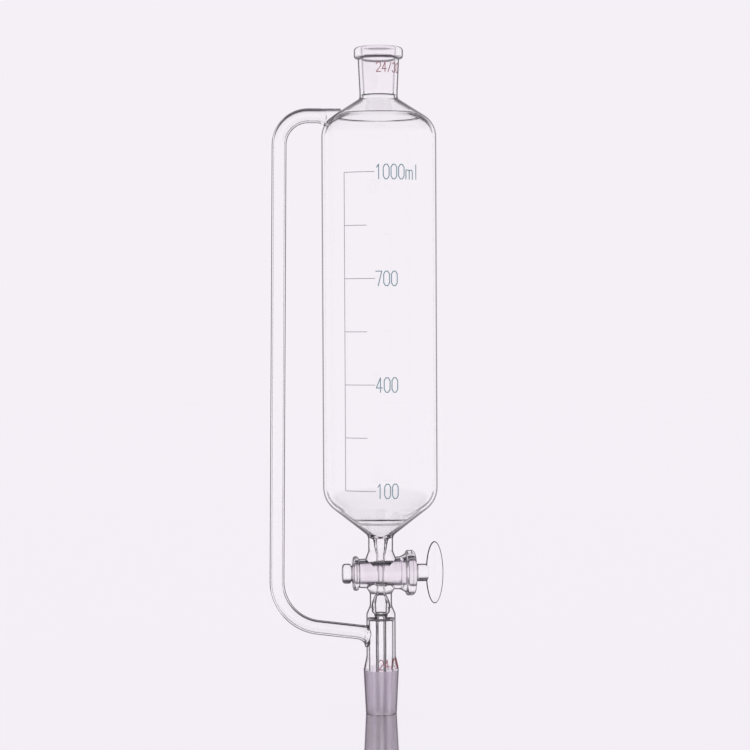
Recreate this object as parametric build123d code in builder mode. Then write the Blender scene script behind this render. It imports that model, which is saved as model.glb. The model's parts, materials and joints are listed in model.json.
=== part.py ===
from build123d import *
from math import cos, degrees, pi, radians, sin, tan
import os

# Pressure-equalising dropping funnel, 1000 ml, with a glass stopcock and 24/30 ground joints.
# Millimetres.  The origin is the centre of the bottom cone's large end, +Z runs up the funnel's
# axis, +X points along the stopcock to its handle, and the pressure-equalising arm is on -X.

# ---- ground joints, 1:10 taper -------------------------------------------------------------
JOINT_LARGE_D = 24.0        # diameter at the large end of the ground zone
JOINT_LENGTH = 30.0         # length of the ground zone
JOINT_TAPER = 0.1           # diameter lost per millimetre of length

# ---- tubes ---------------------------------------------------------------------------------
RESERVOIR_OD = 78.0
RESERVOIR_WALL = 2.2
JACKET_OD = 20.0
JACKET_WALL = 1.5
DRIP_OD = 7.2
DRIP_WALL = 1.2
ARM_OD = 10.0
ARM_WALL = 1.2
ARM_FLARE = 1.3             # how far the arm widens, on the radius, where it is fused on
ARM_FLARE_LENGTH = 8.0
UPPER_STEM_OD = 17.0
UPPER_STEM_BORE = 7.2       # narrows to the stopcock's bore on the way down
LOWER_STEM_OD = 15.2        # at its waist, below the stopcock
LOWER_STEM_HOLLOW = 8.6     # inside the waist, before the ring seal
STEM_FLARE = 1.3            # how far both stems widen where they are fused to the barrel
STEM_FLARE_LENGTH = 4.1
SOCKET_WALL = 2.5
CONE_WALL = 1.9             # at the cone's tip

# ---- heights along the funnel's axis ---------------------------------------------------------
SKIRT_HEIGHT = 9.0          # from the cone's large end to where the plain jacket starts
JACKET_LENGTH = 27.5        # plain jacket, up to the ring seal
LOWER_STEM_HEIGHT = 29.0    # ring seal to stopcock axis
UPPER_STEM_HEIGHT = 23.0    # stopcock axis to the foot of the reservoir
NECK_STUB = 2.5             # short parallel neck at each end of the reservoir
SOCKET_RELIEF = 2.0         # plain bore under the socket's ground zone
SEAL_DROP = 2.5             # the ring seal's floor sags this far to the drip tube
RESERVOIR_LENGTH = 256.2    # between the two corners of the reservoir's outline
DRIP_END_RECESS = 2.0       # the drip tube ends this far inside the cone

# ---- reservoir outline -----------------------------------------------------------------------
FUNNEL_ANGLE = 38.0         # slope of the bottom, from horizontal
SHOULDER_ANGLE = 32.5       # slope of the shoulder, from horizontal
FUNNEL_CORNER_R = 19.0
SHOULDER_CORNER_R = 17.0
NECK_FILLET_R = 4.0         # where the shoulder runs into the neck
FOOT_FILLET_R = 5.0         # where the funnel runs into the stem

# ---- top socket ------------------------------------------------------------------------------
RIM_OD = 33.4
RIM_HEIGHT = 8.0
RIM_ROUND = 2.2
RIM_INNER_ROUND = 0.4

# ---- pressure-equalising arm -----------------------------------------------------------------
ARM_REACH_TOP = 67.4        # funnel axis to the arm's upper corner
ARM_REACH_BOTTOM = 71.0     # funnel axis to the arm's lower corner
ARM_BELOW_NECK = 11.8       # upper leg, below the plane where the shoulder meets the neck
ARM_TOP_BEND_R = 20.0
ARM_BOTTOM_BEND_R = 32.0
ARM_ENTRY_HEIGHT = 25.0     # lower leg's centre where it enters the jacket
ARM_LEG_SLOPE = 7.5         # the lower leg falls towards the jacket

# ---- stopcock --------------------------------------------------------------------------------
PLUG_D = 16.0               # plug's diameter at the funnel's axis
PLUG_TAPER = 0.1
PLUG_CLEARANCE = 0.05       # greased film between plug and barrel, on the radius
BARREL_LEFT = 19.1          # funnel axis to the small end
BARREL_RIGHT = 23.5         # funnel axis to the large end
BARREL_WALL = 2.6
STOPCOCK_BORE = 4.0
SMALL_BEAD_HEIGHT = 2.1     # above the barrel's wall
SMALL_BEAD_WIDTH = 3.6
LARGE_BEAD_HEIGHT = 3.7
LARGE_BEAD_WIDTH = 6.7
LARGE_BEAD_SHOULDER = 3.4   # length of the swelling ahead of the large bead
BEAD_ROUND = 1.6
PLUG_STANDOUT = 0.4         # ground part of the plug beyond each end of the barrel
BUTTON_STEP = 0.2           # the button is this much smaller than the small end, on the radius
BUTTON_WIDTH = 5.8
GROOVE_DEPTH = 1.5          # groove behind the button, for a retaining clip
GROOVE_WIDTH = 1.1
BUTTON_ROUND = 2.0
SHANK_D = 12.0
SHANK_LENGTH = 9.0          # from the ground part to inside the handle
SHANK_INSET = 2.0           # how far it runs into the handle's edge
HANDLE_WIDTH = 12.0         # along the plug's axis
HANDLE_LENGTH = 42.5        # across the plug's axis
HANDLE_THICKNESS = 4.6
HANDLE_ROUND = 1.5

# ---- fired enamel marks ------------------------------------------------------------------------
ENAMEL = 0.12               # thickness of the print
ENAMEL_LIFT = 0.02          # keeps a print's underside clear of the curved glass
CHARACTER_DEPTH = 3.0       # a flat character this deep is cut to the curve of its tube
FIRST_MARK_ML = 100.0       # volume at the lowest line, where the parallel wall starts
MARK_STEP_ML = 150.0        # volume between two graduation lines
MARK_COUNT = 7
SPINE_ANGLE = -42.0         # angle round the reservoir, from the front towards the handle
LONG_MARK_ANGLE = -10.5
SHORT_MARK_ANGLE = -18.5
LINE_WIDTH = 0.45
NUMBER_HEIGHT = 9.6
NUMBER_WIDTH = 3.9
NUMBER_PITCH = 5.2
NUMBER_STROKE = 0.65
UNIT_WIDTH = 5.0
UNIT_PITCH = 6.4
SIZE_MARK_HEIGHT = 6.3
SIZE_MARK_WIDTH = 2.9
SIZE_MARK_PITCH = 3.9
SIZE_MARK_STROKE = 0.5
SIZE_MARK_ANGLE = -6.0      # its first character
SIZE_MARK_GAP = 3.4         # from the rim bead down to the mark on the socket
SIZE_MARK_FOOT = 1.2        # from the ground zone up to the mark on the cone

# ---- levels and radii that follow from the sizes above -------------------------------------------
reservoir_r = RESERVOIR_OD / 2
reservoir_bore_r = reservoir_r - RESERVOIR_WALL
jacket_r = JACKET_OD / 2
jacket_bore_r = jacket_r - JACKET_WALL
drip_r = DRIP_OD / 2
drip_bore_r = drip_r - DRIP_WALL
arm_r = ARM_OD / 2
upper_stem_r = UPPER_STEM_OD / 2
lower_stem_r = LOWER_STEM_OD / 2
joint_large_r = JOINT_LARGE_D / 2
joint_small_r = joint_large_r - JOINT_TAPER * JOINT_LENGTH / 2
socket_foot_r = joint_small_r + SOCKET_WALL
bore_r = STOPCOCK_BORE / 2

skirt_z = SKIRT_HEIGHT
ring_seal_z = skirt_z + JACKET_LENGTH
stopcock_z = ring_seal_z + LOWER_STEM_HEIGHT
reservoir_foot_z = stopcock_z + UPPER_STEM_HEIGHT
foot_corner_z = reservoir_foot_z + NECK_STUB
low_corner_z = foot_corner_z + (reservoir_r - upper_stem_r) * tan(radians(FUNNEL_ANGLE))
high_corner_z = low_corner_z + RESERVOIR_LENGTH
neck_corner_z = high_corner_z + (reservoir_r - socket_foot_r) * tan(radians(SHOULDER_ANGLE))
socket_z = neck_corner_z + NECK_STUB
rim_z = socket_z + SOCKET_RELIEF + JOINT_LENGTH
wall_bottom_z = low_corner_z + FUNNEL_CORNER_R * tan(radians(90 - FUNNEL_ANGLE) / 2)
wall_top_z = high_corner_z - SHOULDER_CORNER_R * tan(radians(90 - SHOULDER_ANGLE) / 2)
cone_tip_z = -JOINT_LENGTH


def plug_r(x):
    """Radius of the plug's ground surface at a distance x from the funnel's axis."""
    return PLUG_D / 2 + PLUG_TAPER / 2 * x


def barrel_bore_r(x):
    return plug_r(x) + PLUG_CLEARANCE


def barrel_r(x):
    return barrel_bore_r(x) + BARREL_WALL


def reservoir_outline(inset, foot_r, neck_r, foot_z):
    """Corners of the reservoir's half section, `inset` inside its outer surface."""
    wall_r = reservoir_r - inset
    foot_slope = tan(radians(FUNNEL_ANGLE))
    shoulder_slope = tan(radians(SHOULDER_ANGLE))
    low_z = low_corner_z + inset / cos(radians(FUNNEL_ANGLE)) - inset * foot_slope
    high_z = high_corner_z - inset / cos(radians(SHOULDER_ANGLE)) + inset * shoulder_slope
    return [
        (0, foot_z),
        (foot_r, foot_z),
        (foot_r, low_z - (wall_r - foot_r) * foot_slope),
        (wall_r, low_z),
        (wall_r, high_z),
        (neck_r, high_z + (wall_r - neck_r) * shoulder_slope),
        (neck_r, socket_z),
        (0, socket_z),
    ]


def front_plane(angle, z, radius):
    """Plane facing out of a tube at `angle` degrees from the front towards the handle."""
    outwards = (sin(radians(angle)), -cos(radians(angle)), 0)
    sideways = (cos(radians(angle)), sin(radians(angle)), 0)
    origin = (radius * outwards[0], radius * outwards[1], z)
    return Plane(origin=origin, x_dir=sideways, z_dir=outwards)


os.makedirs("parts", exist_ok=True)


def finish(builder, label):
    """Label a finished piece and write it out."""
    builder.part.label = label
    export_step(builder.part, f"parts/{label}.step")


# ==== envelopes: the solid outer shapes that fused pieces are trimmed against =====================
reservoir_corner_radii = [0, 0, FOOT_FILLET_R, FUNNEL_CORNER_R, SHOULDER_CORNER_R, NECK_FILLET_R, 0, 0]

with BuildPart() as reservoir_envelope:
    with BuildSketch(Plane.XZ):
        with BuildLine():
            FilletPolyline(
                reservoir_outline(0, upper_stem_r, socket_foot_r, reservoir_foot_z),
                radius=reservoir_corner_radii,
                close=True,
            )
        make_face()
    revolve(axis=Axis.Z)

stopcock_axis = Axis((0, 0, stopcock_z), (1, 0, 0))
stopcock_section = Plane(origin=(0, 0, stopcock_z), x_dir=(1, 0, 0), z_dir=(0, -1, 0))
large_bead_start = BARREL_RIGHT - LARGE_BEAD_WIDTH
large_shoulder_start = large_bead_start - LARGE_BEAD_SHOULDER
small_bead_end = SMALL_BEAD_WIDTH - BARREL_LEFT
small_bead_r = barrel_r(-BARREL_LEFT) + SMALL_BEAD_HEIGHT
large_bead_r = barrel_r(BARREL_RIGHT) + LARGE_BEAD_HEIGHT
large_shoulder_r = (barrel_r(large_bead_start) + large_bead_r) / 2

with BuildPart() as barrel_envelope:
    with BuildSketch(stopcock_section):
        with BuildLine():
            FilletPolyline(
                (-BARREL_LEFT, 0),
                (-BARREL_LEFT, small_bead_r),
                (small_bead_end, small_bead_r),
                (small_bead_end, barrel_r(small_bead_end)),
                (large_shoulder_start, barrel_r(large_shoulder_start)),
                (large_bead_start, large_shoulder_r),
                (large_bead_start, large_bead_r),
                (BARREL_RIGHT, large_bead_r),
                (BARREL_RIGHT, 0),
                radius=[0, BEAD_ROUND, BEAD_ROUND, 0, 0, 0, BEAD_ROUND, BEAD_ROUND, 0],
                close=True,
            )
        make_face()
    revolve(axis=stopcock_axis)

# ==== the glass body, piece by piece as it is flame-sealed together ===============================
# Pressure-equalising arm: one bent tube, widened at both ends where it is fused on.
arm_top_z = neck_corner_z - ARM_BELOW_NECK
arm_leg_slope = tan(radians(ARM_LEG_SLOPE))
arm_low_corner_z = ARM_ENTRY_HEIGHT + (ARM_REACH_BOTTOM - jacket_r) * arm_leg_slope
arm_contact_r = reservoir_r - (arm_top_z - high_corner_z) / tan(radians(SHOULDER_ANGLE))
arm_top_plane = Plane(origin=(-arm_contact_r, 0, arm_top_z), x_dir=(0, 1, 0), z_dir=(-1, 0, 0))
arm_leg_plane = Plane(
    origin=(-jacket_r, 0, ARM_ENTRY_HEIGHT),
    x_dir=(0, 1, 0),
    z_dir=(-1, 0, arm_leg_slope),
)
arm_bore_r = arm_r - ARM_WALL

with BuildLine() as arm_path:
    FilletPolyline(
        (-joint_small_r, 0, arm_top_z),
        (-ARM_REACH_TOP, 0, arm_top_z),
        (-ARM_REACH_BOTTOM, 0, arm_low_corner_z),
        (-drip_r, 0, ARM_ENTRY_HEIGHT - (jacket_r - drip_r) * arm_leg_slope),
        radius=[ARM_TOP_BEND_R, ARM_BOTTOM_BEND_R],
    )

with BuildPart() as side_arm:
    with BuildSketch(arm_path.line ^ 0):
        Circle(arm_r)
    sweep(path=arm_path.line)
    for end_plane in (arm_top_plane, arm_leg_plane):
        with BuildSketch(end_plane.offset(ARM_FLARE_LENGTH)):
            Circle(arm_r)
        with BuildSketch(end_plane):
            Circle(arm_r + ARM_FLARE)
        loft()
        with BuildSketch(end_plane):
            Circle(arm_r + ARM_FLARE)
        extrude(amount=-jacket_r)
    with BuildSketch(arm_path.line ^ 0):
        Circle(arm_bore_r)
    sweep(path=arm_path.line, mode=Mode.SUBTRACT)
    add(reservoir_envelope.part, mode=Mode.SUBTRACT)
    with BuildSketch(Plane.XY):
        Circle(jacket_r)
    extrude(amount=stopcock_z, mode=Mode.SUBTRACT)

# The blown glass in one: a wide tube, drawn in to a conical bottom and a domed shoulder.
with BuildPart() as blown_glass:
    add(reservoir_envelope.part)
    with BuildSketch(Plane.XZ):
        with BuildLine():
            FilletPolyline(
                reservoir_outline(
                    RESERVOIR_WALL, UPPER_STEM_BORE / 2, joint_small_r, reservoir_foot_z - upper_stem_r
                ),
                radius=[
                    0,
                    0,
                    FOOT_FILLET_R - RESERVOIR_WALL,
                    FUNNEL_CORNER_R - RESERVOIR_WALL,
                    SHOULDER_CORNER_R - RESERVOIR_WALL,
                    NECK_FILLET_R,
                    0,
                    0,
                ],
                close=True,
            )
        make_face()
    revolve(axis=Axis.Z, mode=Mode.SUBTRACT)
    with BuildSketch(Plane(origin=(-joint_small_r, 0, arm_top_z), z_dir=(-1, 0, 0))):
        Circle(arm_bore_r)
    extrude(amount=reservoir_r, mode=Mode.SUBTRACT)

# Reservoir: the parallel wall and the conical bottom.
shoulder_seam = Plane.XY.offset(wall_top_z)
with BuildPart() as reservoir:
    add(blown_glass.part)
    split(bisect_by=shoulder_seam, keep=Keep.BOTTOM)
finish(reservoir, "reservoir")

# Shoulder: closes the wall down to the neck, and takes the arm's upper end.
with BuildPart() as shoulder:
    add(blown_glass.part)
    split(bisect_by=shoulder_seam, keep=Keep.TOP)
finish(shoulder, "shoulder")
finish(side_arm, "side_arm")

# Top socket: ground inside at 1:10, with a thick fire-polished rim.
rim_low_z = rim_z - RIM_HEIGHT


def socket_outer_r(z):
    """Radius of the socket's outside, which follows its ground bore."""
    return joint_large_r - JOINT_TAPER / 2 * (rim_z - z) + SOCKET_WALL


with BuildPart() as top_socket:
    with BuildSketch(Plane.XZ):
        with BuildLine():
            FilletPolyline(
                (joint_small_r, socket_z),
                (socket_foot_r, socket_z),
                (socket_foot_r, socket_z + SOCKET_RELIEF),
                (socket_outer_r(rim_low_z), rim_low_z),
                (RIM_OD / 2, rim_low_z),
                (RIM_OD / 2, rim_z),
                (joint_large_r, rim_z),
                (joint_small_r, rim_z - JOINT_LENGTH),
                radius=[0, 0, 0, 0, RIM_ROUND, RIM_ROUND, RIM_INNER_ROUND, 0],
                close=True,
            )
        make_face()
    revolve(axis=Axis.Z)
finish(top_socket, "top_socket")

# Stopcock barrel: a tapered sleeve with a bead at each end, drilled through for the flow.
with BuildPart() as stopcock_barrel:
    add(barrel_envelope.part)
    with BuildSketch(stopcock_section):
        with BuildLine():
            Polyline(
                (-BARREL_LEFT, 0),
                (-BARREL_LEFT, barrel_bore_r(-BARREL_LEFT)),
                (BARREL_RIGHT, barrel_bore_r(BARREL_RIGHT)),
                (BARREL_RIGHT, 0),
                close=True,
            )
        make_face()
    revolve(axis=stopcock_axis, mode=Mode.SUBTRACT)
    with BuildSketch(Plane.XY.offset(stopcock_z)):
        Circle(bore_r)
    extrude(amount=large_bead_r, both=True, mode=Mode.SUBTRACT)
finish(stopcock_barrel, "stopcock_barrel")

# Upper stem: thick capillary-like tube that narrows from the reservoir to the stopcock.
barrel_top_z = stopcock_z + barrel_r(0)
barrel_low_z = stopcock_z - barrel_r(0)

with BuildPart() as upper_stem:
    with BuildSketch(Plane.XZ):
        with BuildLine():
            Polyline(
                (bore_r, stopcock_z),
                (upper_stem_r + STEM_FLARE, stopcock_z),
                (upper_stem_r + STEM_FLARE, barrel_top_z),
                (upper_stem_r, barrel_top_z + STEM_FLARE_LENGTH),
                (upper_stem_r, reservoir_foot_z),
                (UPPER_STEM_BORE / 2, reservoir_foot_z),
                (bore_r, barrel_top_z),
                close=True,
            )
        make_face()
    revolve(axis=Axis.Z)
    add(barrel_envelope.part, mode=Mode.SUBTRACT)
finish(upper_stem, "upper_stem")

# Lower stem: opens into a small hollow and ends in the ring seal that carries the drip tube.
seal_floor_z = ring_seal_z - SEAL_DROP
hollow_r = LOWER_STEM_HOLLOW / 2
hollow_top_z = (ring_seal_z + barrel_low_z) / 2
waist_low_z = ring_seal_z + LOWER_STEM_HEIGHT / 4

with BuildPart() as lower_stem:
    with BuildSketch(Plane.XZ):
        with BuildLine():
            Polyline(
                (bore_r, stopcock_z),
                (lower_stem_r + STEM_FLARE, stopcock_z),
                (lower_stem_r + STEM_FLARE, barrel_low_z),
                (lower_stem_r, barrel_low_z - STEM_FLARE_LENGTH),
                (lower_stem_r, waist_low_z),
                (jacket_r, ring_seal_z + SEAL_DROP),
                (jacket_r, ring_seal_z),
                (jacket_bore_r, ring_seal_z),
                (drip_r, seal_floor_z),
                (drip_bore_r, seal_floor_z),
                (drip_bore_r, ring_seal_z),
                (hollow_r, ring_seal_z + SEAL_DROP),
                (hollow_r, hollow_top_z),
                (bore_r, barrel_low_z - STEM_FLARE),
                close=True,
            )
        make_face()
    revolve(axis=Axis.Z)
    add(barrel_envelope.part, mode=Mode.SUBTRACT)
finish(lower_stem, "lower_stem")

# Drip tube: hangs from the ring seal, down the middle of the jacket, and drips inside the cone.
with BuildPart() as drip_tube:
    with BuildSketch(Plane.XY.offset(cone_tip_z + DRIP_END_RECESS)):
        Circle(drip_r)
        Circle(drip_bore_r, mode=Mode.SUBTRACT)
    extrude(amount=seal_floor_z - cone_tip_z - DRIP_END_RECESS)
finish(drip_tube, "drip_tube")

# Jacket tube: the vapour space round the drip tube, entered by the pressure-equalising arm.
with BuildPart() as jacket_tube:
    with BuildSketch(Plane.XY.offset(skirt_z)):
        Circle(jacket_r)
        Circle(jacket_bore_r, mode=Mode.SUBTRACT)
    extrude(amount=JACKET_LENGTH)
    with BuildSketch(arm_leg_plane.offset(-jacket_r / 2)):
        Circle(arm_bore_r)
    extrude(amount=jacket_r, mode=Mode.SUBTRACT)
finish(jacket_tube, "jacket_tube")

# Bottom cone: ground outside at 1:10, with a skirt that runs into the jacket.
cone_bore_r = joint_small_r - CONE_WALL

with BuildPart() as bottom_cone:
    with BuildSketch(Plane.XZ):
        with BuildLine():
            Polyline(
                (cone_bore_r, cone_tip_z),
                (joint_small_r, cone_tip_z),
                (joint_large_r, 0),
                (jacket_r, skirt_z),
                (jacket_bore_r, skirt_z),
                (cone_bore_r, 0),
                close=True,
            )
        make_face()
    revolve(axis=Axis.Z)
finish(bottom_cone, "bottom_cone")

# ==== the plug, which turns in the barrel =========================================================
key_left = -BARREL_LEFT - PLUG_STANDOUT
key_right = BARREL_RIGHT + PLUG_STANDOUT
button_right = key_left - GROOVE_WIDTH
button_left = button_right - BUTTON_WIDTH
shank_right = key_right + SHANK_LENGTH
handle_x = shank_right - SHANK_INSET + HANDLE_WIDTH / 2
button_r = plug_r(key_left) - BUTTON_STEP

# Ground key: a solid 1:10 taper, cross-drilled in line with the stems.
with BuildPart() as plug_key:
    with BuildSketch(stopcock_section):
        with BuildLine():
            Polyline(
                (key_left, 0),
                (key_left, plug_r(key_left)),
                (key_right, plug_r(key_right)),
                (key_right, 0),
                close=True,
            )
        make_face()
    revolve(axis=stopcock_axis)
    with BuildSketch(Plane.XY.offset(stopcock_z)):
        Circle(bore_r)
    extrude(amount=PLUG_D, both=True, mode=Mode.SUBTRACT)
finish(plug_key, "plug_key")

# Handle: an oval thumb plate, its long side in line with the bore.
with BuildPart() as plug_handle:
    with BuildSketch(Plane.XZ.shift_origin((handle_x, 0, stopcock_z))):
        Ellipse(HANDLE_WIDTH / 2, HANDLE_LENGTH / 2)
    extrude(amount=HANDLE_THICKNESS / 2, both=True)
    fillet(plug_handle.faces().filter_by(Axis.Y).edges(), HANDLE_ROUND)
finish(plug_handle, "plug_handle")

# Shank: the round neck between the key and the handle.
with BuildPart() as plug_shank:
    with BuildSketch(Plane(origin=(key_right, 0, stopcock_z), z_dir=(1, 0, 0))):
        Circle(SHANK_D / 2)
    extrude(amount=SHANK_LENGTH)
    add(plug_handle.part, mode=Mode.SUBTRACT)
finish(plug_shank, "plug_shank")

# Button: the small end's knob, behind a groove that takes a retaining clip.
with BuildPart() as plug_button:
    with BuildSketch(Plane(origin=(button_left, 0, stopcock_z), z_dir=(1, 0, 0))):
        Circle(button_r)
    extrude(amount=BUTTON_WIDTH)
    fillet(plug_button.edges().filter_by(GeomType.CIRCLE), BUTTON_ROUND)
    with BuildSketch(Plane(origin=(button_right, 0, stopcock_z), z_dir=(1, 0, 0))):
        Circle(button_r - GROOVE_DEPTH)
    extrude(amount=GROOVE_WIDTH)
finish(plug_button, "plug_button")

# ==== fired enamel marks ==========================================================================
# Each character is a few pen strokes in a cell one unit wide and one unit high.
STROKES = {
    "0": [[(0.3, 0), (0.7, 0), (1, 0.2), (1, 0.8), (0.7, 1), (0.3, 1), (0, 0.8), (0, 0.2), (0.3, 0)]],
    "1": [[(0.2, 0.8), (0.55, 1), (0.55, 0)]],
    "2": [[(0, 0.8), (0.25, 1), (0.75, 1), (1, 0.8), (1, 0.6), (0, 0), (1, 0)]],
    "3": [
        [(0, 0.85), (0.25, 1), (0.75, 1), (1, 0.8), (0.7, 0.53)],
        [(0.7, 0.53), (1, 0.25), (0.75, 0), (0.25, 0), (0, 0.15)],
    ],
    "4": [[(0.7, 0), (0.7, 1), (0, 0.3), (1, 0.3)]],
    "7": [[(0, 1), (1, 1), (0.4, 0)]],
    "/": [[(0.15, 0), (0.85, 1)]],
    "m": [
        [(0, 0), (0, 0.62), (0.4, 0.62), (0.5, 0.52), (0.5, 0)],
        [(0.5, 0.52), (0.6, 0.62), (0.9, 0.62), (1, 0.5), (1, 0)],
    ],
    "l": [[(0.3, 1), (0.3, 0)]],
}


def enamel_sleeve(low_r, low_z, high_r, high_z):
    """Thin sleeve that lies on a tube between two heights: the marks are cut out of it."""
    with BuildPart() as sleeve:
        with BuildSketch(Plane.XZ):
            with BuildLine():
                Polyline(
                    (low_r + ENAMEL_LIFT, low_z),
                    (low_r + ENAMEL_LIFT + ENAMEL, low_z),
                    (high_r + ENAMEL_LIFT + ENAMEL, high_z),
                    (high_r + ENAMEL_LIFT, high_z),
                    close=True,
                )
            make_face()
        revolve(axis=Axis.Z)
    return sleeve.part


def character_angles(first_angle, pitch, radius, count):
    """Angles round a tube of characters set `pitch` apart along its surface."""
    step = degrees(pitch / radius)
    return [first_angle + step * place for place in range(count)]


def enamel_text(label, text, angles, middle_z, radius, size, sleeve):
    """One node of characters, each facing outwards at its own angle round a tube."""
    width, height, stroke = size
    with BuildPart() as marks:
        for character, angle in zip(text, angles):
            for points in STROKES[character]:
                corners = [((u - 0.5) * width, (v - 0.5) * height) for u, v in points]
                with BuildSketch(front_plane(angle, middle_z, radius - CHARACTER_DEPTH / 2)):
                    for start, end in zip(corners, corners[1:]):
                        with BuildLine():
                            Line(start, end)
                        trace(line_width=stroke)
                    with Locations(corners):
                        Circle(stroke / 2)
                extrude(amount=CHARACTER_DEPTH)
        add(sleeve, mode=Mode.INTERSECT)
    finish(marks, label)


# Graduation: a spine with a line every 150 ml, long and short in turn, each read off the bore.
mark_pitch = MARK_STEP_ML * 1000 / (pi * reservoir_bore_r**2)
mark_r = reservoir_r + ENAMEL_LIFT + ENAMEL / 2
line_angle = degrees(LINE_WIDTH / mark_r)


def enamel_line(angle, arc, low_z, high_z):
    """A patch of enamel on the reservoir, from `angle` round through `arc` degrees."""
    section = front_plane(angle, 0, 0)
    with BuildSketch(Plane(origin=(0, 0, 0), x_dir=section.z_dir, z_dir=-section.x_dir)) as patch:
        with Locations((mark_r, (low_z + high_z) / 2)):
            Rectangle(ENAMEL, high_z - low_z + LINE_WIDTH)
    revolve(patch.sketch, axis=Axis.Z, revolution_arc=arc)


mark_levels = [wall_bottom_z + mark_pitch * step for step in range(MARK_COUNT)]
top_mark_z = mark_levels[-1]

with BuildPart() as scale_spine:
    enamel_line(SPINE_ANGLE - line_angle, line_angle, wall_bottom_z, top_mark_z)
finish(scale_spine, "scale_spine")

with BuildPart() as scale_marks_major:
    for level in mark_levels[::2]:
        enamel_line(SPINE_ANGLE, LONG_MARK_ANGLE - SPINE_ANGLE, level, level)
finish(scale_marks_major, "scale_marks_major")

with BuildPart() as scale_marks_minor:
    for level in mark_levels[1::2]:
        enamel_line(SPINE_ANGLE, SHORT_MARK_ANGLE - SPINE_ANGLE, level, level)
finish(scale_marks_minor, "scale_marks_minor")

number_size = (NUMBER_WIDTH, NUMBER_HEIGHT, NUMBER_STROKE)
first_number_angle = LONG_MARK_ANGLE + degrees(NUMBER_PITCH / 2 / reservoir_r)
number_angles = character_angles(first_number_angle, NUMBER_PITCH, reservoir_r, len("1000"))
reservoir_sleeve = enamel_sleeve(
    reservoir_r, wall_bottom_z - NUMBER_HEIGHT, reservoir_r, top_mark_z + NUMBER_HEIGHT
)
for step in range(0, MARK_COUNT, 2):
    volume = f"{FIRST_MARK_ML + MARK_STEP_ML * step:.0f}"
    enamel_text(
        f"number_{volume}",
        volume,
        number_angles,
        mark_levels[step],
        reservoir_r,
        number_size,
        reservoir_sleeve,
    )
unit_size = (UNIT_WIDTH, NUMBER_HEIGHT, NUMBER_STROKE)
first_unit_angle = number_angles[-1] + degrees((NUMBER_PITCH + UNIT_PITCH) / 2 / reservoir_r)
unit_angles = character_angles(first_unit_angle, UNIT_PITCH, reservoir_r, len("ml"))
enamel_text("unit_ml", "ml", unit_angles, top_mark_z, reservoir_r, unit_size, reservoir_sleeve)

# Joint sizes: large-end diameter over length, on the socket and on the cone's skirt.
size_mark_size = (SIZE_MARK_WIDTH, SIZE_MARK_HEIGHT, SIZE_MARK_STROKE)
size_mark_text = f"{JOINT_LARGE_D:.0f}/{JOINT_LENGTH:.0f}"
socket_mark_z = rim_low_z - SIZE_MARK_GAP - SIZE_MARK_HEIGHT / 2
socket_mark_low_z = socket_mark_z - SIZE_MARK_HEIGHT
socket_mark_high_z = rim_low_z - SIZE_MARK_GAP / 2
socket_mark_r = socket_outer_r(socket_mark_z)
enamel_text(
    "socket_size_mark",
    size_mark_text,
    character_angles(SIZE_MARK_ANGLE, SIZE_MARK_PITCH, socket_mark_r, len(size_mark_text)),
    socket_mark_z,
    socket_mark_r,
    size_mark_size,
    enamel_sleeve(
        socket_outer_r(socket_mark_low_z),
        socket_mark_low_z,
        socket_outer_r(socket_mark_high_z),
        socket_mark_high_z,
    ),
)
cone_mark_z = SIZE_MARK_FOOT + SIZE_MARK_HEIGHT / 2
cone_mark_r = joint_large_r + (jacket_r - joint_large_r) * cone_mark_z / skirt_z
enamel_text(
    "cone_size_mark",
    size_mark_text,
    character_angles(SIZE_MARK_ANGLE, SIZE_MARK_PITCH, cone_mark_r, len(size_mark_text)),
    cone_mark_z,
    cone_mark_r,
    size_mark_size,
    enamel_sleeve(joint_large_r, 0, jacket_r, skirt_z),
)
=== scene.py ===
import json
import math

import bmesh
import bpy
from mathutils import Matrix, Vector


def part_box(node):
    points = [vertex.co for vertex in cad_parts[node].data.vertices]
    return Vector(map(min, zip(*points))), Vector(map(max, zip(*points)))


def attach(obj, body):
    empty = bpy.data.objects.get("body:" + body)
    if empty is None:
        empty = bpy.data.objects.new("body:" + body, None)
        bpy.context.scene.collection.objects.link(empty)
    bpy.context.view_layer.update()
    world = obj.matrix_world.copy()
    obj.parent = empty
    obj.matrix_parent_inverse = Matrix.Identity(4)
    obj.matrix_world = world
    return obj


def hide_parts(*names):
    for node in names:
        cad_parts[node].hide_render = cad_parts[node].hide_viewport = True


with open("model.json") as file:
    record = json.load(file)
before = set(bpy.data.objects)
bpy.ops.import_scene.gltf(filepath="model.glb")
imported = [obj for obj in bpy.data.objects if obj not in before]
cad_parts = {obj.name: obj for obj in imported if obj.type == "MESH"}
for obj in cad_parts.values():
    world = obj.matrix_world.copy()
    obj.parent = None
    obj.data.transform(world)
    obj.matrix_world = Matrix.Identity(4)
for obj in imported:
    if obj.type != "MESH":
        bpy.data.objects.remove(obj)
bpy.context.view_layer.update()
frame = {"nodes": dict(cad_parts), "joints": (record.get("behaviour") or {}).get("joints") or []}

# ---- fused glass body ---------------------------------------------------------------------
# One piece of clear borosilicate glass: reservoir, socket, stems, barrel, ring seal, drip tube,
# jacket, cone and side arm are flame-sealed together, so their seams have melted away.
# It is the outer skin less the hollows, each turned or bent as the glassblower's tubes are.
MM = 0.001


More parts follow.
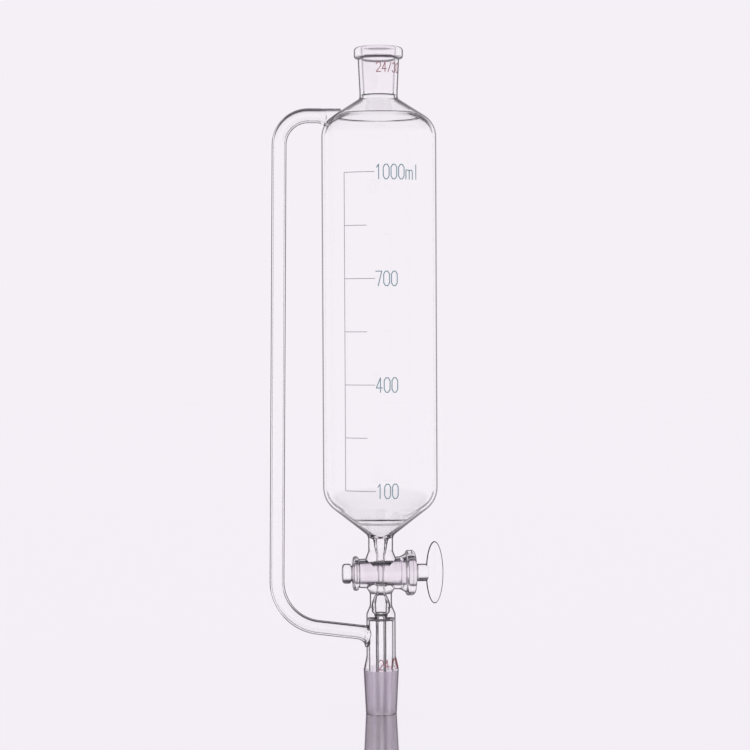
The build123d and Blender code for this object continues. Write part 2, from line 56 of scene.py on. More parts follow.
def rounded(corners, step=math.radians(7)):
    """Points along an outline of (radius, height, corner radius), its corners drawn as arcs."""
    points = []
    count = len(corners)
    for i, (r, z, turn_r) in enumerate(corners):
        here = Vector((r, z))
        if turn_r == 0 or i in (0, count - 1):
            points.append(here)
            continue
        back = (Vector(corners[i - 1][:2]) - here).normalized()
        ahead = (Vector(corners[i + 1][:2]) - here).normalized()
        half = back.angle(ahead) / 2
        centre = here + (back + ahead).normalized() * turn_r / math.sin(half)
        start = here + back * turn_r / math.tan(half) - centre
        sweep = start.angle_signed(here + ahead * turn_r / math.tan(half) - centre)
        steps = max(2, math.ceil(abs(sweep) / step))
        for j in range(steps + 1):
            points.append(centre + Matrix.Rotation(-sweep * j / steps, 2) @ start)
    return points


def subdivided(points, longest):
    """The same outline with its long straight runs cut into shorter ones."""
    result = [points[0]]
    for a, b in zip(points, points[1:]):
        cuts = max(1, math.ceil((b - a).length / longest))
        result += [a.lerp(b, (j + 1) / cuts) for j in range(cuts)]
    return result


def turned(outline, steps, matrix=Matrix.Identity(4), closed=False):
    """A closed surface of revolution: the outline is (radius, height) about the local Z axis."""
    bm = bmesh.new()
    verts = [bm.verts.new((p.x, 0, p.y)) for p in outline]
    pairs = list(zip(verts, verts[1:]))
    if closed:
        pairs.append((verts[-1], verts[0]))
    edges = [bm.edges.new(pair) for pair in pairs]
    bmesh.ops.spin(
        bm,
        geom=verts + edges,
        cent=(0, 0, 0),
        axis=(0, 0, 1),
        angle=math.tau,
        steps=steps,
        use_merge=True,
    )
    bmesh.ops.remove_doubles(bm, verts=bm.verts, dist=1e-6)
    bmesh.ops.recalc_face_normals(bm, faces=bm.faces)
    bmesh.ops.transform(bm, matrix=matrix, verts=bm.verts)
    return bm


def solid(name, bm):
    """A mesh object at the origin, with its place in its mesh."""
    mesh = bpy.data.meshes.new(name)
    bm.to_mesh(mesh)
    bm.free()
    obj = bpy.data.objects.new(name, mesh)
    bpy.context.scene.collection.objects.link(obj)
    return obj


def combine(target, operation, tools):
    """Adds closed solids to the target, or cuts them out of it, and removes them."""
    for tool in tools:
        modifier = target.modifiers.new(tool.name, "BOOLEAN")
        modifier.operation = operation
        modifier.solver = "EXACT"
        modifier.object = tool
    bpy.context.view_layer.update()
    result = bpy.data.meshes.new_from_object(
        target.evaluated_get(bpy.context.evaluated_depsgraph_get())
    )
    target.modifiers.clear()
    target.data = result
    for tool in tools:
        bpy.data.objects.remove(tool)


cone_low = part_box("bottom_cone")[0]
jacket_low, jacket_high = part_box("jacket_tube")
drip_low, drip_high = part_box("drip_tube")
barrel_low, barrel_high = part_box("stopcock_barrel")
reservoir_low, reservoir_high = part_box("reservoir")
socket_low, socket_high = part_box("top_socket")
plug_centre = Vector(frame["joints"][0]["pos_m"])

TUBE_WALL = 2.2 * MM
JOINT_R = 12.0 * MM
JOINT_LENGTH = 30.0 * MM
JOINT_TIP_R = JOINT_R - JOINT_LENGTH / 20
SOCKET_WALL = 2.5 * MM
RIM_HEIGHT = 8.0 * MM
JACKET_BORE = 8.5 * MM
CONE_BORE = 8.6 * MM
STEM_R = 8.5 * MM
STEM_MOUTH = 3.6 * MM
BORE = 2.0 * MM
WAIST_R = 7.6 * MM
HOLLOW_R = 4.3 * MM
DRIP_BORE = 2.4 * MM
BARREL_MID_R = 10.65 * MM
FUNNEL_SLOPE = math.tan(math.radians(38))
SHOULDER_SLOPE = math.tan(math.radians(32.5))
LOW_CORNER_R = 19 * MM
HIGH_CORNER_R = 17 * MM
WAIST_FLARE = 2.2 * MM
STEM_FLARE = 2 * MM
STUB = 2.5 * MM
LONGEST_RUN = 12 * MM
WIDE_TUBE_STEPS = 144
NARROW_TUBE_STEPS = 96
ARM_STEPS = 48

reservoir_r = reservoir_high.x
jacket_r = jacket_high.x
drip_r = drip_high.x
rim_r = socket_high.x
rim_z = socket_high.z
socket_z = socket_low.z
socket_foot_r = JOINT_TIP_R + SOCKET_WALL
ground_low_z = rim_z - JOINT_LENGTH
seal_z = jacket_high.z
foot_z = reservoir_low.z + STUB
low_corner_z = foot_z + (reservoir_r - STEM_R) * FUNNEL_SLOPE
neck_z = socket_z - STUB
high_corner_z = neck_z - (reservoir_r - socket_foot_r) * SHOULDER_SLOPE
barrel_top_z = plug_centre.z + BARREL_MID_R
barrel_foot_z = plug_centre.z - BARREL_MID_R

outer_skin = turned(
    subdivided(
        rounded(
            [
                (0, cone_low.z, 0),
                (JOINT_TIP_R, cone_low.z, 0.5 * MM),
                (JOINT_R, 0, 1.2 * MM),
                (jacket_r, jacket_low.z, 8 * MM),
                (jacket_r, seal_z + 1.5 * MM, 3 * MM),
                (WAIST_R, seal_z + 7 * MM, 6 * MM),
                (WAIST_R, barrel_foot_z - 3 * MM, 4 * MM),
                (WAIST_R + WAIST_FLARE, barrel_foot_z + 0.6 * MM, 0),
                (WAIST_R + WAIST_FLARE, plug_centre.z, 0),
                (STEM_R + STEM_FLARE, plug_centre.z, 0),
                (STEM_R + STEM_FLARE, barrel_top_z - 0.6 * MM, 0),
                (STEM_R, barrel_top_z + 4.5 * MM, 5 * MM),
                (STEM_R, foot_z, 5 * MM),
                (reservoir_r, low_corner_z, LOW_CORNER_R),
                (reservoir_r, high_corner_z, HIGH_CORNER_R),
                (socket_foot_r, neck_z, 3 * MM),
                (socket_foot_r, ground_low_z, 0),
                (socket_foot_r + (JOINT_LENGTH - RIM_HEIGHT) / 20, rim_z - RIM_HEIGHT, 0.5 * MM),
                (rim_r, rim_z - RIM_HEIGHT + 0.6 * MM, 1.9 * MM),
                (rim_r, rim_z, 2.4 * MM),
                (0, rim_z, 0),
            ]
        ),
        LONGEST_RUN,
    ),
    WIDE_TUBE_STEPS,
)

# The barrel is a thick taper sleeve with a bead at each end: a solid bar here, bored out below.
ALONG_STOPCOCK = Matrix.Translation(plug_centre) @ Matrix.Rotation(math.radians(90), 4, "Y")
BARREL_TAPER = 0.05
BEAD_ROUND = 1.7 * MM


def barrel_r(x):
    """Outer radius of the barrel at a distance x from the funnel's axis."""
    return BARREL_MID_R + BARREL_TAPER * x


small_bead_r = barrel_r(barrel_low.x) + 2.1 * MM
small_bead_x = barrel_low.x + 3.6 * MM
large_bead_x = barrel_high.x - 6.7 * MM
shoulder_x = large_bead_x - 3.4 * MM
barrel_skin = turned(
    rounded(
        [
            (0, barrel_low.x, 0),
            (small_bead_r, barrel_low.x, BEAD_ROUND),
            (small_bead_r, small_bead_x, BEAD_ROUND),
            (barrel_r(small_bead_x), small_bead_x + 0.4 * MM, 0.5 * MM),
            (barrel_r(shoulder_x), shoulder_x, 3 * MM),
            (barrel_r(large_bead_x) + 1.9 * MM, large_bead_x, 0.8 * MM),
            (barrel_high.z - plug_centre.z, large_bead_x + 0.6 * MM, 1.5 * MM),
            (barrel_high.z - plug_centre.z, barrel_high.x, 2.6 * MM),
            (0, barrel_high.x, 0),
        ]
    ),
    NARROW_TUBE_STEPS,
    ALONG_STOPCOCK,
)

# The side arm is one length of 10 mm tube, bent twice over the flame. Both ends are flared
# where they are sealed to the shoulder and to the jacket.
ARM_R = 5.0 * MM
ARM_WALL = 1.2 * MM
TOP_FLARE = 2.4 * MM
LOW_FLARE = 2.4 * MM
FLARE_LENGTH = 6 * MM
TOP_BEND_R = 20 * MM
LOW_BEND_R = 32 * MM
ARM_AXIS_DROP = 6.3 * MM
SEAL_REACH = 36 * MM
TOP_REACH = 67.4 * MM
FOOT_REACH = 71 * MM
ENTRY_Z = 25 * MM
LEG_SLOPE = math.radians(7.5)
arm_top_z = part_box("side_arm")[1].z - ARM_AXIS_DROP
arm_reach = Vector((-TOP_REACH, 0, arm_top_z))
arm_entry = Vector((-jacket_r, 0, ENTRY_Z))
arm_corner = Vector((-FOOT_REACH, 0, ENTRY_Z + (FOOT_REACH - jacket_r) * math.tan(LEG_SLOPE)))


def bent_arm(radius, top_flare, low_flare, overrun):
    """The arm as a solid bar: leg, bend, long run, bend, sloping leg.

    Its ends sag as they flare, and run on past the seals by the overrun.
    """
    run = (arm_corner - arm_reach).normalized()
    leg = (arm_entry - arm_corner).normalized()
    top_turn = Vector((-1, 0, 0)).angle(run)
    low_turn = run.angle(leg)
    top_cut = TOP_BEND_R * math.tan(top_turn / 2)
    low_cut = LOW_BEND_R * math.tan(low_turn / 2)
    contact = Vector((-SEAL_REACH, 0, arm_top_z))
    sagged = contact + Vector((overrun, 0, -top_flare))
    bm = bmesh.new()
    ring = bmesh.ops.create_circle(
        bm,
        segments=ARM_STEPS,
        radius=radius + top_flare,
        cap_ends=True,
        matrix=Matrix.Translation(sagged) @ Matrix.Rotation(-math.pi / 2, 4, "Y"),
    )["verts"]

    def push(verts, direction, distance, scale=1.0, sag=0.0):
        """Carries the end ring on along a straight line, and widens or narrows it."""
        edges = [e for e in bm.edges if e.verts[0] in verts and e.verts[1] in verts]
        new = bmesh.ops.extrude_edge_only(bm, edges=edges)["geom"]
        new = {v for v in new if isinstance(v, bmesh.types.BMVert)}
        bmesh.ops.translate(bm, verts=list(new), vec=direction * distance - Vector((0, 0, sag)))
        middle = sum((v.co for v in new), Vector()) / len(new)
        bmesh.ops.transform(
            bm,
            verts=list(new),
            matrix=Matrix.Translation(middle)
            @ Matrix.Scale(scale, 4)
            @ Matrix.Translation(-middle),
        )
        return new

    def bend(verts, centre, turn):
        """Carries the end ring round a bend in the arm's own plane."""
        edges = [e for e in bm.edges if e.verts[0] in verts and e.verts[1] in verts]
        last = bmesh.ops.spin(
            bm,
            geom=list(verts) + edges,
            cent=centre,
            axis=(0, 1, 0),
            angle=-turn,
            steps=math.ceil(turn / math.radians(4)),
        )["geom_last"]
        return {v for v in last if isinstance(v, bmesh.types.BMVert)}

    def flared(verts, direction, sign, flare):
        """Steps along a flare: narrowing away from a seal, or widening towards one."""
        steps = 12
        for i in range(steps):
            before, after = (i, i + 1) if sign < 0 else (steps - i, steps - i - 1)
            size_before = radius + flare * (1 - math.sqrt(1 - (1 - before / steps) ** 2))
            size_after = radius + flare * (1 - math.sqrt(1 - (1 - after / steps) ** 2))
            verts = push(
                verts,
                direction,
                FLARE_LENGTH / steps,
                size_after / size_before,
                size_after - size_before,
            )
        return verts

    left = Vector((-1, 0, 0))
    ring = push(set(ring), left, overrun)
    ring = flared(ring, left, -1, top_flare)
    ring = push(ring, left, contact.x - FLARE_LENGTH - (arm_reach.x + top_cut))
    ring = bend(ring, arm_reach + Vector((top_cut, 0, -TOP_BEND_R)), top_turn)
    long_run = (arm_corner - arm_reach).length - top_cut - low_cut
    for _ in range(12):
        ring = push(ring, run, long_run / 12)
    side = Vector((-run.z, 0, run.x))
    ring = bend(ring, arm_corner - run * low_cut + side * LOW_BEND_R, low_turn)
    leg_length = (arm_entry - arm_corner).length - low_cut - FLARE_LENGTH
    for _ in range(2):
        ring = push(ring, leg, leg_length / 2)
    ring = flared(ring, leg, 1, low_flare)
    ring = push(ring, leg, min(overrun, 6 * MM))
    bmesh.ops.contextual_create(
        bm, geom=[e for e in bm.edges if e.verts[0] in ring and e.verts[1] in ring]
    )
    bmesh.ops.recalc_face_normals(bm, faces=bm.faces)
    return bm


# Hollows: the liquid's way from the socket down to the drip tube, the vapour's way from the cone
# up the jacket and the arm, and the plug's ground seat.
FUNNEL_MOUTH = (STEM_MOUTH, reservoir_low.z + 0.8 * MM)
LOW_INNER_CORNER = (reservoir_r - TUBE_WALL, low_corner_z + 1.1 * MM)
HIGH_INNER_CORNER = (reservoir_r - TUBE_WALL, high_corner_z - 1.2 * MM)
SOCKET_STEP = 0.7 * MM
NECK_INNER_CORNER = (JOINT_TIP_R + SOCKET_STEP, neck_z - 1 * MM)
RING_HALF_WIDTH = 1.1 * MM
RING_HEIGHT = 1.0 * MM
RING_ROUND = 0.6 * MM
FUNNEL_RING_R = 18 * MM
SHOULDER_RING_R = 27 * MM


def worked_ring(start, end, r):
    """Corners of a thick ring, left in the wall at radius r where the tube was drawn in hot."""
    start, end = Vector(start), Vector(end)
    along = (end - start).normalized()
    inward = Vector((-along.y, along.x))
    middle = start.lerp(end, (r - start.x) / (end.x - start.x))
    return [
        (*(middle - along * RING_HALF_WIDTH), RING_ROUND),
        (*(middle + inward * RING_HEIGHT), RING_ROUND),
        (*(middle + along * RING_HALF_WIDTH), RING_ROUND),
    ]


liquid_way = turned(
    subdivided(
        rounded(
            [
                (0, drip_low.z - 0.5 * MM, 0),
                (DRIP_BORE, drip_low.z - 0.5 * MM, 0),
                (DRIP_BORE, seal_z - 0.8 * MM, 4 * MM),
                (HOLLOW_R, seal_z + 1.4 * MM, 2.2 * MM),
                (HOLLOW_R, seal_z + 8.5 * MM, 3.5 * MM),
                (BORE, barrel_foot_z - 1 * MM, 4 * MM),
                (BORE, barrel_top_z, 4 * MM),
                (*FUNNEL_MOUTH, 3 * MM),
                *worked_ring(FUNNEL_MOUTH, LOW_INNER_CORNER, FUNNEL_RING_R),
                (*LOW_INNER_CORNER, LOW_CORNER_R - TUBE_WALL),
                (*HIGH_INNER_CORNER, HIGH_CORNER_R - TUBE_WALL),
                *worked_ring(HIGH_INNER_CORNER, NECK_INNER_CORNER, SHOULDER_RING_R),
                (*NECK_INNER_CORNER, 3 * MM),
                (JOINT_TIP_R + SOCKET_STEP, socket_z - 0.8 * MM, 0.4 * MM),
                (JOINT_TIP_R, socket_z, 0),
                (JOINT_TIP_R, ground_low_z, 0),
                (JOINT_R, rim_z, 0),
                (JOINT_R + 1 * MM, rim_z + 1 * MM, 0),
                (0, rim_z + 1 * MM, 0),
            ]
        ),
        LONGEST_RUN,
    ),
    WIDE_TUBE_STEPS,
)
vapour_way = turned(
    subdivided(
        rounded(
            [
                (0, cone_low.z - 1 * MM, 0),
                (CONE_BORE, cone_low.z - 1 * MM, 0),
                (CONE_BORE, 0, 20 * MM),
                (JACKET_BORE, jacket_low.z, 20 * MM),
                (JACKET_BORE, seal_z - 0.6 * MM, 2.2 * MM),
                (drip_r, drip_high.z + 0.4 * MM, 1.8 * MM),
                (drip_r, drip_low.z, 0.5 * MM),
                (0, drip_low.z, 0),
            ]
        ),
        LONGEST_RUN,
    ),
    NARROW_TUBE_STEPS,
)
PLUG_MID_R = 8.0 * MM
GREASE = 0.05 * MM


def seat_r(x):
    """Radius of the plug's seat at a distance x from the funnel's axis."""
    return PLUG_MID_R + GREASE + BARREL_TAPER * x


seat_start = barrel_low.x - 1 * MM
seat_end = barrel_high.x + 1 * MM
plug_seat = turned(
    [
        Vector((0, seat_start)),
        Vector((seat_r(seat_start), seat_start)),
        Vector((seat_r(seat_end), seat_end)),
        Vector((0, seat_end)),
    ],
    NARROW_TUBE_STEPS,
    ALONG_STOPCOCK,
)

SKIN_OVERRUN = 10 * MM
BORE_OVERRUN = 14 * MM
BORE_FLARE = 0.8
arm_skin = bent_arm(ARM_R, TOP_FLARE, LOW_FLARE, SKIN_OVERRUN)
arm_bore = bent_arm(ARM_R - ARM_WALL, BORE_FLARE * TOP_FLARE, BORE_FLARE * LOW_FLARE, BORE_OVERRUN)

glass_body = solid("glass_body", outer_skin)
combine(
    glass_body,
    "UNION",
    [solid("barrel_skin", barrel_skin), solid("arm_skin", arm_skin)],
)
combine(
    glass_body,
    "DIFFERENCE",
    [
        solid("liquid_way", liquid_way),
        solid("vapour_way", vapour_way),
        solid("arm_bore", arm_bore),
        solid("plug_seat", plug_seat),
    ],
)

# Materials of the body. Borosilicate is water-clear, and shows only by its bright reflections and
# by dark lines of painted shade where a wall is seen edge on. Ground zones are the same glass, cut
# with grit.


def linear(colour, alpha=1.0):
    """An sRGB hex value as linear RGBA."""
    channels = [int(colour[i : i + 2], 16) / 255 for i in (1, 3, 5)]
    return [c / 12.92 if c <= 0.04045 else ((c + 0.055) / 1.055) ** 2.4 for c in channels] + [alpha]


def node(tree, kind, settings=None, inputs=None):
    """Adds a node. An input is a plain value, or another node's output socket to link from."""
    new = tree.nodes.new(kind)
    for key, value in (settings or {}).items():
        setattr(new, key, value)
    for key, value in (inputs or {}).items():
        if isinstance(value, bpy.types.NodeSocket):
            tree.links.new(value, new.inputs[key])
        else:
            new.inputs[key].default_value = value
    return new


def material(name):
    """An empty node material and its output node."""
    new = bpy.data.materials.new(name)
    new.use_nodes = True
    new.node_tree.nodes.clear()
    return new, new.node_tree, new.node_tree.nodes.new("ShaderNodeOutputMaterial")


def ramp(tree, factor, stops):
    """A colour ramp of (position, sRGB hex) stops."""
    new = node(tree, "ShaderNodeValToRGB", inputs={"Fac": factor})
    while len(new.color_ramp.elements) < len(stops):
        new.color_ramp.elements.new(1.0)
    for element, (position, colour) in zip(new.color_ramp.elements, stops):
        element.position = position
        element.color = linear(colour)
    return new


# The edge line is the width of the dark line of painted shade at a tube's outline. A streak is a
# lengthwise band in a ground surface. The shares of the line are 1 at its inner side and 0 where
# glass is seen edge on.
BOROSILICATE_IOR = 1.474
PAINTED_EDGE_LINE = 1.3 * MM
STREAK = 3.5 * MM
LINE_STARTS = 1.0
LINE_TINTED = 0.7
LINE_OPAQUE = 0.65


def borosilicate(name, clear, edge, edge_transmission, roughness, grain, depth, stretch, streak):
    """Glass whose colour is painted dark, as shade, where its wall is seen edge on, with a skin of
    waves or ground pits.

    The mesh's edge_cosine says how obliquely a wall of its radius is seen within the last
    millimetre of its outline, so that a thick tube and a thin one get the same painted dark line.
    """
    new, tree, output = material(name)
    place = node(tree, "ShaderNodeTexCoord").outputs["Object"]
    along = node(tree, "ShaderNodeMapping", inputs={"Vector": place, "Scale": (1, 1, stretch)})
    skin = node(
        tree,
        "ShaderNodeTexNoise",
        inputs={"Vector": along.outputs["Vector"], "Scale": 1 / grain, "Detail": 2.0},
    )
    bump = node(
        tree,
        "ShaderNodeBump",
        inputs={"Height": skin.outputs["Fac"], "Strength": 0.2, "Distance": depth},
    )
    facing = node(tree, "ShaderNodeLayerWeight", inputs={"Blend": 0.5}).outputs["Facing"]
    cosine = node(tree, "ShaderNodeMath", {"operation": "SUBTRACT"}, {0: 1.0, 1: facing})
    line = node(tree, "ShaderNodeAttribute", {"attribute_name": "edge_cosine"}).outputs["Fac"]
    inward = node(tree, "ShaderNodeMath", {"operation": "DIVIDE"}, {0: cosine.outputs[0], 1: line})
    lengthwise = node(tree, "ShaderNodeMapping", inputs={"Vector": place, "Scale": (1, 1, 0.04)})
    streaks = node(
        tree,
        "ShaderNodeTexNoise",
        inputs={"Vector": lengthwise.outputs["Vector"], "Scale": 1 / STREAK, "Detail": 2.0},
    )
    body = ramp(tree, streaks.outputs["Fac"], [(0.38, streak), (0.62, clear)])
    # Painted shade: near the outline the colour turns to the dark edge colour, and transmission and
    # specular are lowered.
    painted_edge_shade = node(
        tree,
        "ShaderNodeMapRange",
        {"interpolation_type": "SMOOTHSTEP"},
        {"Value": inward.outputs[0], "From Min": LINE_STARTS, "From Max": LINE_TINTED},
    )
    painted_shade_colour = node(
        tree,
        "ShaderNodeMix",
        {"data_type": "RGBA"},
        {0: painted_edge_shade.outputs["Result"], 6: body.outputs["Color"], 7: linear(edge)},
    )
    passes = node(
        tree,
        "ShaderNodeMapRange",
        {"interpolation_type": "SMOOTHSTEP"},
        {"Value": inward.outputs[0], "From Min": LINE_OPAQUE, "To Min": edge_transmission},
    )
    shine = node(
        tree,
        "ShaderNodeMapRange",
        {"interpolation_type": "SMOOTHSTEP"},
        {"Value": inward.outputs[0], "From Min": LINE_OPAQUE, "To Min": 0.1, "To Max": 0.5},
    )
    shader = node(
        tree,
        "ShaderNodeBsdfPrincipled",
        inputs={
            "Base Color": painted_shade_colour.outputs[2],
            "Roughness": roughness,
            "IOR": BOROSILICATE_IOR,
            "Transmission Weight": passes.outputs["Result"],
            "Specular IOR Level": shine.outputs["Result"],
            "Normal": bump.outputs["Normal"],
        },
    )
    tree.links.new(shader.outputs["BSDF"], output.inputs["Surface"])
    return new


# Fire-polished: drawn tube keeps faint waves along its length, a few millimetres across.
clear_glass = borosilicate(
    "borosilicate_fire_polished",
    clear="#FFFFFF",
    # Painted shade: the dark colour of the edge line.
    edge="#2C2331",
    edge_transmission=0.0,
    roughness=0.0,
    grain=6 * MM,
    depth=0.03 * MM,
    stretch=0.12,
    streak="#FFFFFF",
)
# Ground with carborundum grit, dry: a matt skin of pits that looks mauve-grey on the pale studio.
ground_glass = borosilicate(
    "borosilicate_ground",
    clear="#F2EBF4",
    # Painted shade: the dark colour of the edge line.
    edge="#7A6E80",
    edge_transmission=0.5,
    roughness=0.55,
    grain=0.35 * MM,
    depth=0.05 * MM,
    stretch=0.25,
    streak="#D2C5D6",
)
# Ground finer and greased or wetted, so that the pits are filled and scatter little.
fine_ground_glass = borosilicate(
    "borosilicate_fine_ground",
    clear="#FFFDFF",
    # Painted shade: the dark colour of the edge line.
    edge="#9A8D9E",
    edge_transmission=0.6,
    roughness=0.12,
    grain=0.3 * MM,
    depth=0.03 * MM,
    stretch=1.0,
    streak="#FBF7FB",
)
# The painted shade line is at most this share of a tube's radius, and a larger share of a thin
# rim's.
WIDEST_LINE = 0.45
THIN_RIM_R = 2 * MM
THIN_RIM_LINE = 0.75
SHARP_CORNER = math.radians(38)


def finish_glass(obj, ground_kind, tube_radius):
    """Smooth shading but for true corners, the ground finishes, and the width of the painted shade
    line at the edge.
    """
    obj.data.materials.clear()
    for finish in (clear_glass, ground_glass, fine_ground_glass):
        obj.data.materials.append(finish)
    bm = bmesh.new()
    bm.from_mesh(obj.data)
    for edge in bm.edges:
        edge.smooth = not edge.is_manifold or edge.calc_face_angle() < SHARP_CORNER
    for face in bm.faces:
        face.smooth = True
        face.material_index = ground_kind(face.calc_center_median())
    edge_cosine = bm.verts.layers.float.new("edge_cosine")
    for vert in bm.verts:
        radius = tube_radius(vert.co)
        line = min(PAINTED_EDGE_LINE / radius, WIDEST_LINE) if radius > THIN_RIM_R else THIN_RIM_LINE
        vert[edge_cosine] = math.sqrt(2 * line - line**2)
    bm.to_mesh(obj.data)
    bm.free()


def body_ground_kind(point):
    """1 on the cone's outside, 2 on the socket's inside and the barrel's bore, 0 elsewhere."""
    across = math.hypot(point.x, point.y)
    if cone_low.z + 0.4 * MM < point.z < -0.2 * MM and across > CONE_BORE + 1 * MM:
        return 1
    if ground_low_z < point.z < rim_z - 0.5 * MM and across < JOINT_R + 0.02 * MM:
        return 2
    out = math.hypot(point.y, point.z - plug_centre.z)
    in_barrel = abs(out - seat_r(point.x)) < 0.06 * MM and barrel_low.x < point.x < barrel_high.x
    return 2 if in_barrel else 0


# Inner surfaces lie behind outer ones and add little to the outline, and the arm's thin wall draws
# a fine line: each is taken as a tube so many times wider, which makes its painted shade line
# narrower.
INNER_WALL_SOFTNESS = 6
ARM_BORE_SOFTNESS = 2.5
ARM_SOFTNESS = 1.6
BARREL_REACH_Z = 13 * MM


def body_tube_radius(point):
    """Radius that a point of the body counts as having when its painted edge shade is drawn."""
    across = math.hypot(point.x, point.y)
    if abs(point.z - plug_centre.z) < BARREL_REACH_Z and abs(point.x) < barrel_high.x + 1 * MM:
        return math.hypot(point.y, point.z - plug_centre.z)
    if low_corner_z < point.z < high_corner_z and abs(across - reservoir_r + TUBE_WALL) < 0.2 * MM:
        return INNER_WALL_SOFTNESS * across
    beside = reservoir_r if point.z > foot_z else jacket_r
    if point.x > 0 or across < beside + 0.5 * MM:
        return across
    along_run = (point.z - arm_corner.z) / (arm_reach.z - arm_corner.z)
    centre_x = arm_corner.x + along_run * (arm_reach.x - arm_corner.x)
    in_bore = math.hypot(point.x - centre_x, point.y) < ARM_R - 0.4 * MM
    return (ARM_BORE_SOFTNESS if in_bore else ARM_SOFTNESS) * ARM_R


finish_glass(glass_body, body_ground_kind, body_tube_radius)
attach(glass_body, "glass_body")
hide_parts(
    "reservoir",
    "shoulder",
    "top_socket",
    "side_arm",
    "upper_stem",
    "stopcock_barrel",
    "lower_stem",
    "drip_tube",
    "jacket_tube",
    "bottom_cone",
)

# ---- stopcock plug ------------------------------------------------------------------------
# One solid piece of the same glass: a ground 1:10 key drilled across, a button behind a clip
# groove at the small end, and a round shank that runs into a pressed oval thumb plate.
key_low, key_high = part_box("plug_key")
button_low, button_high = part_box("plug_button")
shank_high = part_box("plug_shank")[1]
handle_low, handle_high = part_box("plug_handle")
shank_r = shank_high.y
button_r = button_high.y
groove_x = key_low.x - 1.1 * MM

plug_bar = turned(
    rounded(
        [
            (0, button_low.x, 0),
            (button_r, button_low.x, 2.2 * MM),
            (button_r, groove_x, 1.4 * MM),
            (button_r - 1.5 * MM, groove_x + 0.2 * MM, 0.3 * MM),
            (button_r - 1.5 * MM, key_low.x - 0.2 * MM, 0.3 * MM),
            (PLUG_MID_R + BARREL_TAPER * key_low.x, key_low.x, 0.4 * MM),
            (PLUG_MID_R + BARREL_TAPER * key_high.x, key_high.x, 0.8 * MM),
            (shank_r, key_high.x + 0.6 * MM, 1.4 * MM),
            (shank_r, shank_high.x - 0.6 * MM, 2 * MM),
            (0, shank_high.x - 0.2 * MM, 0),
        ]
    ),
    NARROW_TUBE_STEPS,
    ALONG_STOPCOCK,
)
plug = solid("plug", plug_bar)

thumb_plate = bmesh.new()
bmesh.ops.create_circle(thumb_plate, segments=NARROW_TUBE_STEPS, radius=1.0, cap_ends=True)
plate_top = bmesh.ops.extrude_face_region(thumb_plate, geom=list(thumb_plate.faces))["geom"]
bmesh.ops.translate(
    thumb_plate, verts=[v for v in plate_top if isinstance(v, bmesh.types.BMVert)], vec=(0, 0, 1)
)
plate_size = handle_high - handle_low
bmesh.ops.transform(
    thumb_plate,
    verts=thumb_plate.verts,
    matrix=Matrix.Translation((handle_low + handle_high) / 2)
    @ Matrix.Diagonal((plate_size.x / 2, plate_size.y, plate_size.z / 2, 1))
    @ Matrix.Rotation(math.pi / 2, 4, "X")
    @ Matrix.Translation((0, 0, -0.5)),
)
bmesh.ops.bevel(
    thumb_plate,
    geom=[e for e in thumb_plate.edges if abs(e.verts[0].co.y - e.verts[1].co.y) < 0.1 * MM],
    offset=1.9 * MM,
    segments=6,
    profile=0.5,
    material=-1,
    affect="EDGES",
)
bmesh.ops.recalc_face_normals(thumb_plate, faces=thumb_plate.faces)
combine(plug, "UNION", [solid("thumb_plate", thumb_plate)])
cross_bore = bmesh.new()
bmesh.ops.create_cone(
    cross_bore,
    cap_ends=True,
    segments=ARM_STEPS,
    radius1=BORE,
    radius2=BORE,
    depth=30 * MM,
    matrix=Matrix.Translation(plug_centre),
)
combine(plug, "DIFFERENCE", [solid("cross_bore", cross_bore)])


def plug_ground_kind(point):
    """2 on the plug's ground taper, 0 elsewhere."""
    out = math.hypot(point.y, point.z - plug_centre.z)
    on_key = out > PLUG_MID_R + BARREL_TAPER * point.x - 0.1 * MM
    return 2 if on_key and key_low.x < point.x < key_high.x else 0


def plug_bar_radius(point):
    """The plug's radius, or the thumb plate's rim. Its flat faces count as wide: no painted shade
    line there.
    """
    on_flat = abs(point.y) > plate_size.y / 2 - 0.3 * MM
    if point.x > shank_high.x - 1.5 * MM:
        return reservoir_r if on_flat else 1.6 * MM
    return math.hypot(point.y, point.z - plug_centre.z)


finish_glass(plug, plug_ground_kind, plug_bar_radius)
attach(plug, "plug")
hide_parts("plug_key", "plug_shank", "plug_handle", "plug_button")

# ---- printed marks ------------------------------------------------------------------------
# Vitreous enamel, screened on and fired into the glass: blue-grey for the volume scale and dark
# red for the joint sizes. The print is thin, so its colour and skin are a little uneven.


def enamel(name, dark, light):
    """Fired enamel whose colour is uneven at the size of the screen's mesh."""
    new, tree, output = material(name)
    place = node(tree, "ShaderNodeTexCoord").outputs["Object"]
    SCREEN = 0.5 * MM
    uneven = node(
        tree, "ShaderNodeTexNoise", inputs={"Vector": place, "Scale": 1 / SCREEN, "Detail": 3.0}
    )
    colour = ramp(tree, uneven.outputs["Fac"], [(0.35, dark), (0.7, light)])
    grain = node(
        tree,
        "ShaderNodeBump",
        inputs={"Height": uneven.outputs["Fac"], "Strength": 0.3, "Distance": 0.02 * MM},
    )
    shader = node(
        tree,
        "ShaderNodeBsdfPrincipled",
        inputs={
            "Base Color": colour.outputs["Color"],
            "Roughness": 0.45,
            "IOR": 1.5,
            "Normal": grain.outputs["Normal"],
        },
    )
    tree.links.new(shader.outputs["BSDF"], output.inputs["Surface"])
    return new


scale_enamel = enamel("fired_enamel_blue_grey", "#5E8292", "#8EACB8")
line_enamel = enamel("fired_enamel_grey", "#8F8592", "#B3AAB6")
size_enamel = enamel("fired_enamel_dark_red", "#7D0F22", "#9A2236")
for name, obj in frame["nodes"].items():
    if name.startswith("scale_"):
        obj.data.materials.clear()
        obj.data.materials.append(line_enamel)
    elif name.startswith(("number_", "unit_")):
        obj.data.materials.clear()
        obj.data.materials.append(scale_enamel)
    elif name.endswith("size_mark"):
        obj.data.materials.clear()
        obj.data.materials.append(size_enamel)

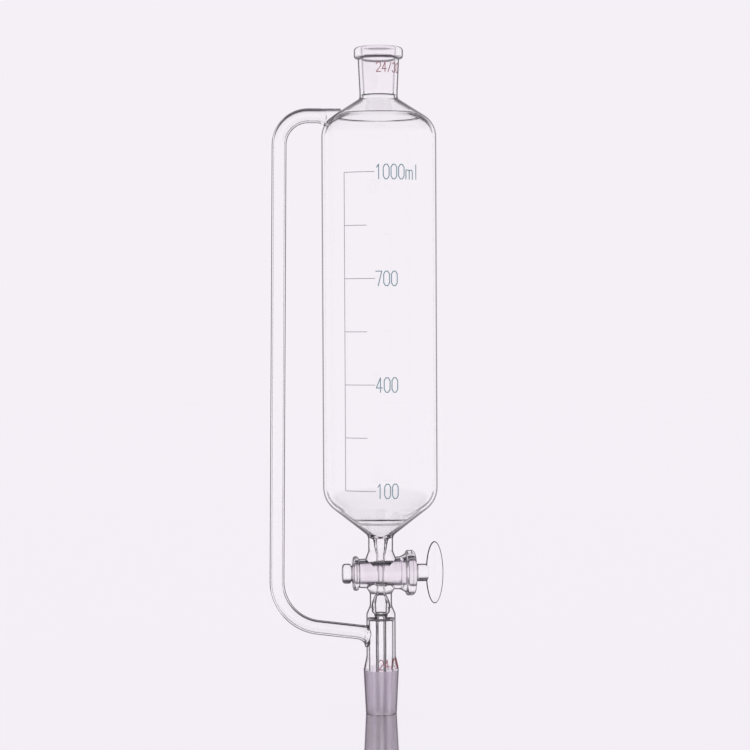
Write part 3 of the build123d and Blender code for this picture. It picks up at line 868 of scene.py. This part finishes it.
# ---- studio -------------------------------------------------------------------------------
# A pale gloss table and an even white surround, whose unlit ceiling is seen only through the
# glass: bends and beads turn the light enough to pick it up as their dark lines.
TABLE_SIZE = 6.0
BACKDROP = "#F5F0F6"
UNLIT_CEILING = "#3A3040"
CEILING_STARTS = 0.2
CEILING_FULL = 0.42
table = bmesh.new()
bmesh.ops.create_grid(
    table,
    x_segments=1,
    y_segments=1,
    size=TABLE_SIZE,
    matrix=Matrix.Translation((0, 0, cone_low.z)),
)
table = solid("table", table)
table_finish, tree, output = material("pale_gloss_laminate")
shader = node(
    tree,
    "ShaderNodeBsdfPrincipled",
    inputs={"Base Color": linear("#FDFBFE"), "Roughness": 0.04, "Metallic": 0.9},
)
tree.links.new(shader.outputs["BSDF"], output.inputs["Surface"])
table.data.materials.append(table_finish)

world = bpy.data.worlds.new("studio")
world.use_nodes = True
world.node_tree.nodes.clear()
tree = world.node_tree
path = node(tree, "ShaderNodeLightPath")
seen = node(
    tree,
    "ShaderNodeMath",
    {"operation": "ADD", "use_clamp": True},
    {0: path.outputs["Is Camera Ray"], 1: path.outputs["Is Glossy Ray"]},
)
seen = node(
    tree,
    "ShaderNodeMath",
    {"operation": "ADD", "use_clamp": True},
    {0: seen.outputs[0], 1: path.outputs["Is Transmission Ray"]},
)
lighting = node(tree, "ShaderNodeBackground", inputs={"Color": (1, 1, 1, 1), "Strength": 1.0})
direction = node(tree, "ShaderNodeTexCoord").outputs["Generated"]
height = node(tree, "ShaderNodeSeparateXYZ", inputs={0: direction}).outputs["Z"]
through_glass = node(
    tree,
    "ShaderNodeMath",
    {"operation": "MULTIPLY"},
    {0: height, 1: path.outputs["Is Transmission Ray"]},
)
wall = ramp(
    tree, through_glass.outputs[0], [(CEILING_STARTS, BACKDROP), (CEILING_FULL, UNLIT_CEILING)]
)
surround = node(
    tree, "ShaderNodeBackground", inputs={"Color": wall.outputs["Color"], "Strength": 1.0}
)
mixed = node(
    tree,
    "ShaderNodeMixShader",
    inputs={0: seen.outputs[0], 1: lighting.outputs[0], 2: surround.outputs[0]},
)
output = node(tree, "ShaderNodeOutputWorld", inputs={"Surface": mixed.outputs[0]})
bpy.context.scene.world = world
bpy.context.scene.view_settings.view_transform = "Standard"
bpy.context.scene.cycles.max_bounces = 32
bpy.context.scene.cycles.transmission_bounces = 32
bpy.context.scene.cycles.glossy_bounces = 12

# The camera stands a little to the arm's side and nearly level with the reservoir's middle.
VIEW_DISTANCE = 1.485
VIEW_AZIMUTH = math.radians(-6)
VIEW_PITCH = math.radians(1.33)
VIEW_ROLL = math.radians(0.27)
FOCAL_LENGTH = 105
aim = Vector((-3.3 * MM, 0, 200.4 * MM))
lens = bpy.data.cameras.new("camera")
lens.lens = FOCAL_LENGTH
camera = bpy.data.objects.new("camera", lens)
bpy.context.scene.collection.objects.link(camera)
camera.location = aim + VIEW_DISTANCE * Vector(
    (math.sin(VIEW_AZIMUTH), -math.cos(VIEW_AZIMUTH), math.tan(VIEW_PITCH))
)
facing = (aim - camera.location).to_track_quat("-Z", "Y").to_matrix().to_4x4()
camera.matrix_world = (
    Matrix.Translation(camera.location) @ facing @ Matrix.Rotation(-VIEW_ROLL, 4, "Z")
)
bpy.context.scene.camera = camera
